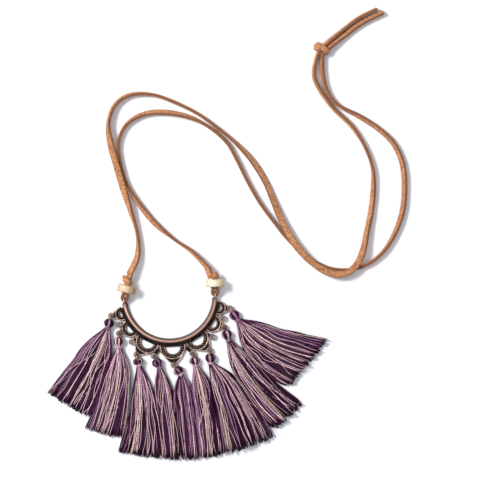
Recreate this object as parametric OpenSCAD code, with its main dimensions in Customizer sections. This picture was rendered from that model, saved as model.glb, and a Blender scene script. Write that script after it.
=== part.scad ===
// Fringe necklace: a cast crescent pendant with nine thread tassels, two disc beads
// and two flat laces that are tied together at the far end.
// It lies face up on a table. X runs to the right, Y towards the tied ends, Z up.
// The origin is under the middle of the pendant, beads and tassels, on the table.

/* [Crescent] */
// Radius of the bar's centre line
arc_r = 20.4; // [19.8:0.1:21]
// Radius of the round bar
bar_r = 1.1; // [0.9:0.05:1.2]
// Angle from the middle of the bar to each end
bar_half = 81.5; // [80:0.5:83]
// Turn of the whole pendant on the table
pendant_turn = 3.5; // [0:0.5:4]
// Distance from the arc's centre to the middle of each scallop
scallop_reach = 22.9; // [22.7:0.1:23.1]
// Thickness of the flat casting behind the relief
plate_t = 1.1; // [0.9:0.1:1.2]

/* [Relief] */
// Radius of the wire round the outside of a scallop
rim_r = 0.36; // [0.3:0.02:0.4]
// Radius of the wire round a scallop's window
inner_rim_r = 0.28; // [0.2:0.02:0.3]
// Radius of a cast grain
grain_r = 0.4; // [0.3:0.02:0.42]
// Height of the ridge along the pointed webs
ridge_h = 0.3; // [0.2:0.05:0.4]

/* [Eyes and rings] */
// Radius of an eye's hole
eye_hole_r = 0.8; // [0.75:0.05:0.85]
// Outer radius of an eye
eye_r = 1.4; // [1.35:0.05:1.45]
// Mean radius of a jump ring
ring_r = 1.7; // [1.65:0.05:1.75]
// Radius of a jump ring's wire
ring_wire_r = 0.35; // [0.3:0.01:0.36]
// Mean radius of the ring at each end of the bar
end_ring_r = 1.5; // [1.45:0.05:1.55]
// Radius of that ring's wire
end_wire_r = 0.42; // [0.38:0.01:0.42]

/* [Beads] */
// Radius of a disc bead
bead_r = 4.3; // [4.1:0.1:4.5]
// Length of a bead along its hole
bead_len = 3.4; // [3.2:0.1:3.5]
// Radius of a bead's hole
bead_hole_r = 2.05; // [2:0.05:2.2]

/* [Lace] */
// Width of the flat lace
lace_w = 3.0; // [2.8:0.1:3]
// Thickness of the lace
lace_t = 1.5; // [1.3:0.1:1.5]

/* [Tassels] */
// Height of the usual cut hem above the table
hem_h = 3.0; // [2.4:0.1:3.2]
// Radius of the thread tie round a tassel's neck
tie_r = 1.25; // [1.1:0.05:1.3]

/* [Hidden] */
$fn = 32;
TASSELS = 9;

arc_centre = [-7.6, 32.7];
floor_gap = 0.05;
bar_z = bar_r + 0.12;
flange_in = arc_r + 0.35;
flange_out = 23.3;
flange_half = 79;
end_ring_z = end_ring_r + end_wire_r + floor_gap;
end_ring_out = 1.9;
end_ball_r = 1.25;
web_low = 0.5;
web_top = 1.15;
web_overlap = 0.36;
ogee_power = 2.2;
ogee_span = 80;
ogee_step = 4;
eye_low = 0.95;
eye_top = 1.85;
ring_z = ring_r + ring_wire_r + floor_gap;
// The jump ring's centre lies this far beyond the eye's, towards the tassel.
eye_to_ring = 1.42;
eye_to_head = eye_to_ring + ring_r;

// One row per scallop from the middle outwards.
// Columns: angle, radius, grains, angle of its pointed eye, reach of that eye.
scallops = [
    [0.0, 5.9, 12, 0.0, 31.3],
    [28.8, 5.4, 11, 32.7, 30.4],
    [53.5, 4.1, 8, 56.5, 28.3],
    [72.5, 3.2, 6, 74.4, 27.8]
];
// Eyes between the scallops. Columns: angle, reach, angle of the valley it grows from.
valleys = [[18.2, 28.0, 14.4], [42.7, 26.8, 41.2], [63.4, 26.1, 63.0]];

// Columns: eye it hangs from [angle, reach], neck, left edge's middle and end, right edge's
// middle and end, number of locks, height of its hem over the usual hem's.
// Edges and necks are on the table's plan.
tassels = [
    [[-74.4, 27.8], [-35.3, 18.2], [-50.2, 4.4], [-61.8, -10.6], [-36, -3], [-43.4, -21.1], 8, 1],
    [[-56.5, 28.3], [-30.3, 9.6], [-36.6, -8], [-45, -26.3], [-25.4, -8.6], [-27.8, -30.3], 8, 1],
    [[-32.7, 30.4], [-21.2, 1.3], [-24.4, -18], [-29.9, -36.8], [-13.9, -18.3], [-11.4, -39.2], 7, 1.1],
    [[-18.2, 28], [-12, 0.4], [-12.6, -18], [-10.8, -39.5], [-5.5, -17.8], [-2.9, -39.5], 5, 0.9],
    [[0, 31.3], [-2.2, -2.6], [-4.3, -18], [-2.2, -39.5], [3.7, -17.8], [6.2, -39.3], 5, 1],
    [[18.2, 28], [4.2, 1.2], [4.5, -18], [6.8, -39.2], [12.9, -16.3], [15.3, -37.8], 6, 1.1],
    [[32.7, 30.4], [11, 2.3], [13.9, -17], [16.2, -37.7], [25.2, -9.9], [38, -30.2], 8, 1.5],
    [[56.5, 28.3], [19, 12.6], [25.3, -7.9], [38.8, -26.6], [34.4, -2], [51.6, -15.4], 8, 1.2],
    [[74.4, 27.8], [23.2, 21.6], [30.2, 3.8], [45.4, -7.4], [42.6, 17.2], [62.5, 12.8], 8, 1.2]
];

// Routes of the two laces, from the bead to the tie knot, read along the lace.
// Columns: x, y, height of the underside above the table, turn of the flat width.
route_left = [
    [-25.4, 42.4, 3.3, 30], [-22, 50.5, 1.2, 45], [-22, 60, 0.1, 80], [-25, 70.5, 1.4, 60],
    [-28, 80, 3.2, 20], [-31, 90, 3.2, 10], [-34, 101, 2.6, 30], [-35, 110, 1.6, 70],
    [-32, 118.5, 0.8, 70], [-25, 123, 0.3, 70], [-15, 123, 0.1, 85], [-5, 119.5, 0.1, 80],
    [5, 114.5, 0.1, 85], [14, 108, 0.1, 90], [22, 101.5, 0.1, 75], [29.5, 93.5, 0.1, 45],
    [35.5, 84, 0.1, 35], [39.5, 74.5, 0.8, 30], [43.5, 65, 2.2, 15], [49, 55.5, 3.2, 5],
    [56, 48, 3.2, 5], [64, 43, 3.2, 10], [71, 42.5, 3.2, 10], [76, 46, 3.2, 10],
    [79, 52, 2.4, 35], [81, 61, 1.0, 50], [83, 71, 0.1, 50], [84, 81, 0.1, 60],
    [83.5, 90.5, 0.1, 85], [80, 100, 0.1, 90], [74, 109, 0.1, 75], [66, 116.8, 0.1, 85],
    [60, 125, 0.1, 90], [57.3, 132, 0.1, 80], [58.8, 140.7, 0.4, 80]
];
route_right = [
    [10.6, 44.0, 2.9, 50], [3, 52, 1.0, 70], [-5.5, 58, 0.1, 90], [-14, 65, 0.1, 50],
    [-21, 73.5, 0.1, 60], [-26.5, 82.5, 0.1, 90], [-29.5, 92, 0.1, 90], [-30.5, 101.5, 0.1, 90],
    [-27, 109.5, 0.1, 75], [-19, 114.3, 0.1, 60], [-9, 115, 0.1, 50], [1, 113, 0.1, 65],
    [10, 108.5, 0.1, 90], [18, 101.5, 0.1, 90], [23, 93, 0.1, 90], [27.5, 84, 0.1, 85],
    [33, 74.5, 0.1, 85], [39.5, 65.5, 0.1, 90], [46.5, 57, 0.1, 90], [54, 50.5, 0.1, 90],
    [63, 45.5, 0.1, 90], [72, 44.3, 0.1, 90], [80.5, 46.3, 0.1, 90], [88, 52, 0.1, 80],
    [93.5, 60.5, 0.1, 65], [97, 70.5, 0.1, 55], [98, 81, 0.1, 55], [97, 92, 0.1, 55],
    [93, 101, 0.1, 60], [86, 107.8, 0.1, 60], [77.5, 113.3, 0.1, 65], [69.2, 117.6, 0.1, 85],
    [64.6, 122.2, 0.1, 90], [61.5, 130, 0.1, 80], [61, 140.5, 0.4, 80]
];
route_tail_left = [
    [63.0, 146.1, 1.0, 60], [69.5, 151.5, 0.1, 50], [77, 157.2, 0.1, 50], [85.5, 161.5, 0.1, 55]
];
route_tail_right = [
    [64.3, 144.3, 1.0, 60], [71.8, 150.3, 0.1, 50], [79.5, 155.8, 0.1, 50], [88.5, 160, 0.1, 60]
];

// The two ends of the crescent. Columns: angle of the bar's end, heading from its ring to
// the bead (clockwise from +Y), then the knot: sideways shift, lean of its turns, radius,
// half of its length.
left_side = [-bar_half, 13, -0.4, 32, 2.4, 2.25];
right_side = [bar_half, 0, -0.8, 22, 2.6, 1.65];
ring_to_bead = 5.5;
bead_z = bead_r + floor_gap;
knot_gap = 0.12;
// One leg of the lace's loop under a bead, from the knot down to the bar's ring.
// Columns: distance to the side, distance from the ring, height, width, thickness.
loop_leg = [
    [0.78, 7.15, 4.4, 2.5, 1.4], [0.78, 5.0, 4.45, 2.4, 1.4], [0.8, 3.7, 4.4, 2.4, 1.4],
    [1.1, 2.6, 3.85, 2.4, 1.3], [1.3, 1.5, 2.9, 2.0, 1.2], [1.0, 0.5, 2.2, 1.6, 1.1],
    [0.5, 0.05, 2.0, 1.4, 1.05]
];

tie_place = [61.0, 143.4];
tie_knot_r = 2.55;

// Half-width of a lock over the room it has, and how far the middle of a hem bulges.
lock_spread = 0.62;
hem_bulge = 0.06;
// Below the tie a skirt puffs out by this much on each side, down to this share of its length.
puff = 1.2;
puff_end = 0.5;

copper = [0.72, 0.45, 0.34];
ivory = [0.93, 0.87, 0.70];
suede = [0.72, 0.46, 0.28];
plum = [0.36, 0.18, 0.34];

// Small helpers: a unit vector, a ray from straight down, and a point turned in the plan.
function unit(v) = v / norm(v);
function ray(a) = [sin(a), -cos(a)];
function turned(p, a) = [p.x * cos(a) - p.y * sin(a), p.x * sin(a) + p.y * cos(a)];
function on_table(p) = arc_centre + turned(p, pendant_turn);
function blend(a, b, t) = a * (1 - t) + b * t;
// A smooth curve that passes through three points at t = 0, 0.5 and 1.
function through(a, m, b, t) = let (c = 2 * m - (a + b) / 2)
    a * (1 - t) * (1 - t) + c * 2 * t * (1 - t) + b * t * t;

// Eight-sided section of a flat lace with its long edges eased.
function lace_section(w, t) = [
    [w / 2, t / 4], [w * 0.4, t / 2], [-w * 0.4, t / 2], [-w / 2, t / 4],
    [-w / 2, -t / 4], [-w * 0.4, -t / 2], [w * 0.4, -t / 2], [w / 2, -t / 4]
];
function half_height(w, t, turn) =
    max([for (p = lace_section(w, t)) p.x * sin(turn) + p.y * cos(turn)]);
function heading(path, i) =
    unit(path[min(i + 1, len(path) - 1)] - path[max(i - 1, 0)]);
function lace_ring(centre, along, turn, w, t) =
    let (side = unit(cross(along, [0, 0, 1])), up = cross(side, along))
    [for (p = lace_section(w, t))
        centre + side * (p.x * cos(turn) - p.y * sin(turn))
               + up * (p.x * sin(turn) + p.y * cos(turn))];

// Joins a list of rings, each with the same number of points, into one closed solid.
module sweep(rings) {
    n = len(rings[0]);
    last = (len(rings) - 1) * n;
    polyhedron(
        points = [for (r = rings) each r],
        faces = [
            [for (i = [0:n - 1]) i],
            for (k = [0:len(rings) - 2], i = [0:n - 1])
                each [[k * n + i, (k + 1) * n + i, (k + 1) * n + (i + 1) % n],
                      [k * n + i, (k + 1) * n + (i + 1) % n, k * n + (i + 1) % n]],
            [for (i = [n - 1:-1:0]) last + i]
        ],
        convexity = 10);
}

// A lace that lies along a route.
module lace(route) {
    path = [for (r = route) [r[0], r[1], r[2] + half_height(lace_w, lace_t, r[3])]];
    sweep([for (i = [0:len(path) - 1])
        lace_ring(path[i], heading(path, i), route[i][3], lace_w, lace_t)]);
}

// Puts a child, drawn with the arc's centre at the origin, in its place on the table.
module pendant_place() {
    translate([arc_centre.x, arc_centre.y, 0]) rotate([0, 0, pendant_turn]) children();
}

// Sector of a solid of revolution, the same angle to each side of straight down.
module downward(half) {
    rotate_extrude(angle = 2 * half, start = -90 - half) children();
}

// A solid ring of round wire about the Z axis.
module wire_ring(mean_r, wire_r) {
    rotate_extrude() translate([mean_r, 0]) circle(r = wire_r);
}

module bar() {
    translate([0, 0, bar_z]) downward(bar_half) translate([arc_r, 0]) circle(r = bar_r);
    for (s = [-1, 1])
        translate([each arc_r * ray(s * bar_half), end_ball_r + floor_gap]) sphere(r = end_ball_r);
}

// Flat strip along the outside of the bar.
module strip() {
    intersection() {
        difference() {
            circle(r = flange_out);
            circle(r = flange_in);
        }
        polygon([[0, 0], for (a = [-2:2]) 2 * arc_r * ray(a * flange_half / 2)]);
    }
}

// Both sides of a scallop's row, or only one for the middle scallop.
function sides(row) = row[0] == 0 ? [1] : [-1, 1];

// Puts a child at a scallop: its origin in the scallop's middle, outwards along -Y.
module scallop_place(a) {
    translate(scallop_reach * ray(a)) rotate([0, 0, a]) children();
}

// The flat backing of the casting, with a half-round window through each scallop.
module backing() {
    translate([0, 0, floor_gap]) linear_extrude(plate_t - floor_gap) difference() {
        union() {
            strip();
            for (c = scallops, s = sides(c)) scallop_place(s * c[0]) half_disc(c[1] - 0.12, 0.5);
        }
        for (c = scallops, s = sides(c)) scallop_place(s * c[0]) half_disc(window_r(c[1]), -0.1);
    }
}

// Sizes inside a scallop, from its radius: the inner rim's and the window's.
function inner_rim(r) = 0.83 * r - 1.1;
function window_r(r) = inner_rim(r) - inner_rim_r - 0.05;

// Outline of the pointed web round a scallop: a circle that swells into a cusp at the eye.
// The eye's place is given from the scallop's middle.
function web_outline(r, eye, inset) =
    let (cusp = atan2(eye.x, -eye.y), base = r - web_overlap)
    [[0, 0], for (a = [-ogee_span:ogee_step:ogee_span])
        let (near = max(0, 1 - abs(a - cusp) / (ogee_span - 4)))
        (base - inset + (norm(eye) - base) * pow(near, ogee_power)) * ray(a)];
function eye_from(row, s) = turned(
    row[4] * ray(s * row[3]) - scallop_reach * ray(s * row[0]), -s * row[0]);

module web_outlines(inset) {
    for (c = scallops, s = sides(c))
        scallop_place(s * c[0]) polygon(web_outline(c[1], eye_from(c, s), inset));
}

// Webs and the stalks of the eyes between them, with a raised ridge round the outline.
module webs() {
    translate([0, 0, web_low]) linear_extrude(web_top - web_low) difference() {
        union() {
            web_outlines(0);
            for (c = valleys, s = [-1, 1]) stalk(24.6 * ray(s * c[2]), c[1] * ray(s * c[0]));
        }
        scallop_discs(1);
    }
    translate([0, 0, web_top - 0.1]) linear_extrude(ridge_h + 0.1) difference() {
        web_outlines(0);
        web_outlines(0.5);
        scallop_discs(0.45);
    }
}

module scallop_discs(inset) {
    for (c = scallops, s = sides(c)) scallop_place(s * c[0]) circle(r = c[1] - inset);
}

// Wire rims and the row of grains between them, round every scallop.
module relief() {
    for (c = scallops, s = sides(c))
        translate([0, 0, plate_t]) scallop_place(s * c[0]) {
            downward(97) translate([c[1] - rim_r, 0]) circle(r = rim_r);
            downward(93) translate([inner_rim(c[1]), 0]) circle(r = inner_rim_r);
            for (i = [0:c[2] - 1])
                translate([each grain_row(c[1]) * ray(-84 + 168 * i / (c[2] - 1)), -0.1])
                    sphere(r = min(grain_r, grain_space(c[1])));
        }
}

// Radius of the row of grains, and half the room between the rims less a little.
function grain_row(r) = (inner_rim(r) + inner_rim_r + r - 2 * rim_r) / 2;
function grain_space(r) = (r - 2 * rim_r - inner_rim(r) - inner_rim_r) / 2 - 0.04;

// Half of a disc, its straight side towards the bar and moved that way.
module half_disc(r, extra) {
    intersection() {
        circle(r = r);
        translate([-r, -r]) square([2 * r, r + extra]);
    }
}

// Short stalk from the valley between two scallops out to its eye.
module stalk(from, to) {
    side = unit([from.y - to.y, to.x - from.x]) * 0.7;
    polygon([from - side, to - side, to + side, from + side]);
}

// Every eye's centre, with the pendant's own arc centre at the origin.
eye_places = [
    for (c = scallops, s = sides(c)) c[4] * ray(s * c[3]),
    for (c = valleys, s = [-1, 1]) c[1] * ray(s * c[0])
];

// Upright ring beyond each end of the bar, which the lace passes through.
function end_ring_place(side) = on_table(
    arc_r * ray(side[0]) + sign(side[0]) * end_ring_out * [cos(side[0]), sin(side[0])]);

module end_ring(side) {
    translate([each end_ring_place(side), end_ring_z]) rotate([0, 0, -side[1]])
        rotate([0, 90, 0]) wire_ring(end_ring_r, end_wire_r);
}

// The casting: bar, seven pierced scallops, their webs and thirteen eyes in one piece.
module crescent() {
    color(copper) {
        pendant_place() difference() {
            union() {
                bar();
                backing();
                webs();
                relief();
                for (p = eye_places)
                    translate([each p, eye_low]) cylinder(r = eye_r, h = eye_top - eye_low);
            }
            for (p = eye_places) translate([each p, -1]) cylinder(r = eye_hole_r, h = 4);
        }
        for (side = [left_side, right_side]) end_ring(side);
    }
}

// Puts a child at an end ring: origin on the table under it, +Y towards the bead.
module side_place(side) {
    translate([each end_ring_place(side), 0]) rotate([0, 0, -side[1]]) children();
}

// Disc bead with a full round edge, standing on its rim, its hole along the lace.
module bead(side) {
    half = bead_len / 2;
    ease = 0.9;
    color(ivory) side_place(side) translate([0, ring_to_bead, bead_z]) rotate([90, 0, 0])
        rotate_extrude() polygon([
            [bead_hole_r, -half],
            for (a = [-90:15:90])
                [bead_r - ease + ease * cos(a), (half - ease) * sign(a) + ease * sin(a)],
            [bead_hole_r, half]
        ]);
}

// Half of the loop is read from the table of its leg, and the other half mirrors it.
module eye_loop(side) {
    rows = [
        for (r = loop_leg) r,
        for (i = [len(loop_leg) - 1:-1:0]) [-loop_leg[i][0], each [for (k = [1:4]) loop_leg[i][k]]]
    ];
    path = [for (r = rows) [r[0], r[1], r[2]]];
    color(suede) side_place(side) sweep([for (i = [0:len(rows) - 1])
        lace_ring(path[i], heading(path, i), 90, rows[i][3], rows[i][4])]);
}

// One turn of flat lace round a knot, about the Y axis.
module knot_turn(r, width) {
    rotate([90, 0, 0]) rotate_extrude() polygon([
        [0, -width / 2], [r - 0.4, -width / 2], [r, -width / 4],
        [r, width / 4], [r - 0.4, width / 2], [0, width / 2]
    ]);
}

// Knot that keeps the bead on the lace: two turns round a core, crossing over each other.
module bead_knot(side) {
    r = side[4];
    half = side[5];
    color(suede) side_place(side)
        translate([side[2], ring_to_bead + bead_len / 2 + knot_gap + half, bead_z])
            intersection() {
                union() {
                    translate([0, 0.1 - 0.2 * half, 0]) rotate([0, 0, side[3]]) knot_turn(r, 1.9);
                    translate([0, 0.2 * half, 0]) rotate([0, 0, -0.8 * side[3]])
                        knot_turn(r - 0.2, 1.8);
                    rotate([90, 0, 0]) cylinder(r = r - 0.75, h = 2 * half, center = true);
                }
                translate([-4, -half, -4]) cube([8, 2 * half, 8]);
            }
}

// Knot of both laces together: a turn round the pair and one that crosses under it.
module tie_knot() {
    color(suede) translate([tie_place.x, tie_place.y, tie_knot_r + floor_gap]) {
        translate([-0.2, 0.8, 0]) rotate([0, 0, -10]) knot_turn(tie_knot_r, 2.5);
        translate([0.4, -0.8, 0]) rotate([0, 0, 38]) knot_turn(2.4, 2.2);
        rotate([0, 0, -12]) rotate([90, 0, 0]) cylinder(r = 1.9, h = 5, center = true);
    }
}

function eye_on_table(t) = on_table(t[0][1] * ray(t[0][0]));
function hang(t) = unit(t[1] - eye_on_table(t));
function bearing(v) = atan2(v.y, v.x);

// Jump ring, upright, through its eye and through the tassel's loop.
module jump_ring(t) {
    place = eye_on_table(t) + eye_to_ring * hang(t);
    color(copper) translate([each place, ring_z]) rotate([0, 0, bearing(hang(t))])
        rotate([90, 0, 0]) wire_ring(ring_r, ring_wire_r);
}

// Eight points round a lock of threads that runs in a direction in the plan.
function slice(place, z, direction, half_w, half_h) =
    let (side = unit([direction.y, -direction.x]) * half_w)
    [for (a = [0:45:315]) [each place + side * cos(a), z + half_h * sin(a)]];

module between(slice_a, slice_b) {
    hull() sweep([slice_a, slice_b]);
}

// Loop of threads folded over the jump ring, gathered to the tie at the neck.
module tassel_head(t) {
    u = hang(t);
    loop_place = eye_on_table(t) + eye_to_head * u;
    translate([each loop_place, ring_z])
        rotate_extrude($fn = 16) translate([1.13, 0]) scale([0.55, 1.05]) circle(r = 1, $fn = 8);
    between(slice(loop_place + 1.15 * u, ring_z, u, 1.1, 0.9),
            slice(t[1], ring_z, u, tie_r - 0.15, tie_r - 0.2));
    between(slice(t[1] - 0.6 * u, ring_z, u, tie_r, tie_r),
            slice(t[1] + 0.7 * u, ring_z, u, tie_r, tie_r));
}

// One lock of the skirt, from the neck to the hem. f runs from 0 at the left edge to 1.
function edge_point(t, right, v) =
    let (out = (right ? 1 : -1) * unit(t[5] - t[3]))
    through(t[1] + 0.5 * out, right ? t[4] : t[2], right ? t[5] : t[3], v) + puffed(v) * out;
// A low arch over v from 0 to the puff's end, and nothing beyond it.
function puffed(v) = v < puff_end ? puff * 4 * v * (puff_end - v) / pow(puff_end, 2) : 0;
function skirt_point(t, f, v) = blend(edge_point(t, false, v), edge_point(t, true, v), f);
function lock_width(t, v) = norm(edge_point(t, true, v) - edge_point(t, false, v)) / t[6];

// The slice of lock i at v, which runs from 0 at the neck to 1 at the hem.
function lock_slice(t, i, v) =
    let (f = blend(lock_spread / t[6], 1 - lock_spread / t[6], i / (t[6] - 1)),
         long = v < 1 ? v : 1 + hem_bulge * f * (1 - f) - (i % 3) * 0.008,
         half_h = (i % 2 == 0 ? 1 : 0.86) * blend(tie_r - 0.15, t[7] * hem_h / 2, sqrt(v)),
         z = max(blend(ring_z, half_h, min(1, 2 * v)), half_h) + floor_gap)
    slice(skirt_point(t, f, long), z,
          skirt_point(t, f, long + 0.02) - skirt_point(t, f, long - 0.02),
          max(lock_spread * lock_width(t, v), 0.5), half_h);

module lock(t, i) {
    stations = [0, 0.2, 0.5, 0.75, 1];
    for (k = [0:len(stations) - 2])
        between(lock_slice(t, i, stations[k]), lock_slice(t, i, stations[k + 1]));
}

module tassel(t) {
    color(plum) {
        tassel_head(t);
        for (i = [0:t[6] - 1]) lock(t, i);
    }
}

crescent();
bead(left_side);  // bead_left
bead(right_side);  // bead_right
bead_knot(left_side);  // bead_knot_left
bead_knot(right_side);  // bead_knot_right
eye_loop(left_side);  // eye_loop_left
eye_loop(right_side);  // eye_loop_right
color(suede) lace(route_left);  // cord_left
color(suede) lace(route_right);  // cord_right
color(suede) lace(route_tail_left);  // tail_left
color(suede) lace(route_tail_right);  // tail_right
tie_knot();
for (i = [1:TASSELS]) {
    jump_ring(tassels[i - 1]);
    tassel(tassels[i - 1]);
}
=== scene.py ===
# %% [markdown]
# # A fringe necklace laid on a white table
# The necklace is a cast copper crescent with nine thread tassels under it, two disc beads above
# its ends, and two flat suede laces that are tied together at the far end. The measured solids
# come first, as a fixed frame, and each step below dresses some of them: it works out a finer
# surface with numpy and hides the solid it stands for. Lengths are in millimetres until a mesh
# is made, because the necklace's own sizes are easiest to read that way.

# %% Load the measured solids
import bpy
import numpy as np
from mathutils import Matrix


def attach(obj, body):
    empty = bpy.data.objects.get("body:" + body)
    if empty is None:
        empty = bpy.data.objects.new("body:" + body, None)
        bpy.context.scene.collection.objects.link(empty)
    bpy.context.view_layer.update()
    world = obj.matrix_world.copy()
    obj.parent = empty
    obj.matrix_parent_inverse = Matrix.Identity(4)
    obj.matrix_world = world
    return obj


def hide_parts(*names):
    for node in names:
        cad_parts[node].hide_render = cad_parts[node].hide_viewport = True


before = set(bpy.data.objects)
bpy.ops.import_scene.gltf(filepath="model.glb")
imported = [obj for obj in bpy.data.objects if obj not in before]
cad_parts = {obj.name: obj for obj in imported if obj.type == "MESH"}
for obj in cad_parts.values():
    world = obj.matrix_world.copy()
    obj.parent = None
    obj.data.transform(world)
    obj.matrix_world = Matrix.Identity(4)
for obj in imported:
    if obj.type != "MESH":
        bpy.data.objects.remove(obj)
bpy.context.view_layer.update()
MM = 0.001

# %% [markdown]
# ## The camera
# The necklace was seen from straight above with a long lens, so nothing shows perspective. One
# picture point is 0.45 mm on the table. A long lens far away keeps tall and flat things at the
# same scale, and the sensor's long side is the picture's height.

# %% Camera straight above the table
def put_in_scene(name, data):
    """A new object in the scene that shows this mesh, or is this camera or light."""
    thing = bpy.data.objects.new(name, data)
    bpy.context.scene.collection.objects.link(thing)
    return thing


PICTURE_HEIGHT, MM_PER_POINT = 499, 0.45
CAMERA_HEIGHT, SENSOR = 1100.0, 36
view_centre = (27.0, 53.4)
camera = put_in_scene("overhead_camera", bpy.data.cameras.new("overhead_camera"))
camera.location = (view_centre[0] * MM, view_centre[1] * MM, CAMERA_HEIGHT * MM)
camera.data.sensor_width = SENSOR
camera.data.lens = SENSOR * CAMERA_HEIGHT / (PICTURE_HEIGHT * MM_PER_POINT)
camera.data.clip_start, camera.data.clip_end = 0.05, 20
bpy.context.scene.camera = camera
print("lens", round(camera.data.lens, 1), "mm")

# %% [markdown]
# ## From arrays to a mesh
# A lace, a thread, a wire and a bead are all the same kind of surface: a ring of points carried
# along a path. One helper turns an array of such rings into a mesh, however many tubes the array
# holds, so no loop ever runs over single points. The map along and around each tube goes with it,
# because the twist of a thread has to follow the thread.


# %% Skin: rings of points to a closed mesh
def skin(name, rings, closed=False):
    """rings[t, k, i] is point i of ring k of tube t, in millimetres. Each face joins points i and
    i + 1 of rings k and k + 1. A closed tube joins its last ring to its first, and an open one
    gets a flat face at each end."""
    tubes, count, sides, _ = rings.shape
    first = (np.arange(tubes) * count * sides)[:, None, None]
    steps = count if closed else count - 1
    here = (np.arange(steps) * sides)[None, :, None]
    there = ((np.arange(steps) + 1) % count * sides)[None, :, None]
    side = np.arange(sides)[None, None, :]
    beside = (side + 1) % sides
    walls = np.stack([first + here + side, first + there + side,
                      first + there + beside, first + here + beside], axis=-1)
    wall_count = walls.size // 4
    corners, sizes = [walls.ravel()], [np.full(wall_count, 4)]
    if not closed:
        last = first[:, 0] + (count - 1) * sides
        ends = np.concatenate([first[:, 0] + side[0], last + side[0, :, ::-1]])
        corners.append(ends.ravel())
        sizes.append(np.full(len(ends), sides))
    corners, sizes = np.concatenate(corners), np.concatenate(sizes)
    starts = np.concatenate([[0], np.cumsum(sizes)[:-1]])
    mesh = bpy.data.meshes.new(name)
    mesh.vertices.add(tubes * count * sides)
    mesh.vertices.foreach_set("co", (rings * MM).astype(np.float32).ravel())
    mesh.loops.add(len(corners))
    mesh.loops.foreach_set("vertex_index", corners.astype(np.int32))
    mesh.polygons.add(len(sizes))
    mesh.polygons.foreach_set("loop_start", starts.astype(np.int32))
    mesh.update(calc_edges=True)
    mesh.polygons.foreach_set("use_smooth", np.arange(len(sizes)) < wall_count)
    lay_map(mesh, rings, walls.shape, closed)
    return put_in_scene(name, mesh)


def lay_map(mesh, rings, shape, closed):
    """Map of a tube: along it the distance in millimetres from its start, measured ring by ring,
    and around it the share of a turn."""
    tubes, steps, sides, _ = shape
    middle = rings.mean(axis=2)
    after = np.roll(middle, -1, axis=1) if closed else middle[:, 1:]
    stretch = np.linalg.norm(after - middle[:, :steps], axis=-1)
    far = np.concatenate([np.zeros((tubes, 1)), np.cumsum(stretch, axis=1)], axis=1)
    near_end, far_end = far[:, :-1, None], far[:, 1:, None]
    turn, next_turn = np.arange(sides) / sides, (np.arange(sides) + 1) / sides
    flat = np.ones((tubes, steps, sides))
    along = np.stack([near_end * flat, far_end * flat, far_end * flat, near_end * flat], axis=-1)
    around = np.stack([turn * flat, turn * flat, next_turn * flat, next_turn * flat], axis=-1)
    points = np.zeros((len(mesh.loops), 2), np.float32)
    points[: along.size, 0], points[: along.size, 1] = along.ravel(), around.ravel()
    mesh.uv_layers.new(name="Along").data.foreach_set("uv", points.ravel())


def unit(v):
    """A vector, or each of an array of them, brought to length 1."""
    return v / np.linalg.norm(v, axis=-1, keepdims=True)


# %% [markdown]
# Carrying a section along a path needs two directions at every point: the way the section is
# wide, and the way it is thick. The first is given, and only made square to the path. The second
# is the cross product of the two others. A flat lace that twists is a width that turns.


# %% Carry a section along a path
UP = np.array([0.0, 0.0, 1.0])


def circle(sides):
    """Points of a circle of radius 1, as x and y: the cosine and the sine of equal turns."""
    turn = 2 * np.pi * np.arange(sides) / sides
    return np.stack([np.cos(turn), np.sin(turn)], axis=-1)


def distance_along(path):
    """How far each point of a line lies from its first point, measured along the line."""
    return np.concatenate([[0], np.cumsum(np.linalg.norm(np.diff(path, axis=0), axis=1))])


def carry(path, width_way, section):
    """Rings of points: the path's point plus the section's x times the width way and its y times
    the thickness way. The path may be one line or many."""
    along = unit(np.gradient(path, axis=-2))
    wide = width_way - along * np.sum(width_way * along, axis=-1, keepdims=True)
    wide = unit(wide)
    thick = np.cross(wide, along)
    return (path[..., None, :] + section[..., 0, None] * wide[..., None, :]
            + section[..., 1, None] * thick[..., None, :])


def through_rows(rows, step):
    """A smooth curve through every row of a table: on each stretch the cubic whose slope at a
    row is half the difference of the rows beside it. All columns are eased alike, and points
    follow about every step of the first columns."""
    rows = np.asarray(rows, float)
    padded = np.concatenate([[2 * rows[0] - rows[1]], rows, [2 * rows[-1] - rows[-2]]])
    spans = np.linalg.norm(np.diff(rows[:, :2], axis=0), axis=1)
    counts = np.maximum(2, np.ceil(spans / step).astype(int))
    index = np.repeat(np.arange(len(spans)), counts)
    t = (np.concatenate([np.arange(c) / c for c in counts]))[:, None]
    before, here, there, after = (padded[index + j] for j in range(4))
    curve = here + 0.5 * t * (there - before + t * (2 * before - 5 * here + 4 * there - after
                                                    + t * (3 * (here - there) + after - before)))
    return np.concatenate([curve, rows[-1:]])


# %% [markdown]
# ## Where the laces lie
# Each lace is a flat strip of suede 3 mm wide and 1.5 mm thick. It leaves the knot above its
# bead, lies in loose curves, crosses the other lace and runs into the knot at the far end. The
# strip twists as it goes, so that it lies flat in some places and stands on its edge in others.
# The rows are read along the lace: place on the table, height of the underside, and turn of the
# flat width in degrees, where 0 is flat and 90 is on edge.

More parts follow.
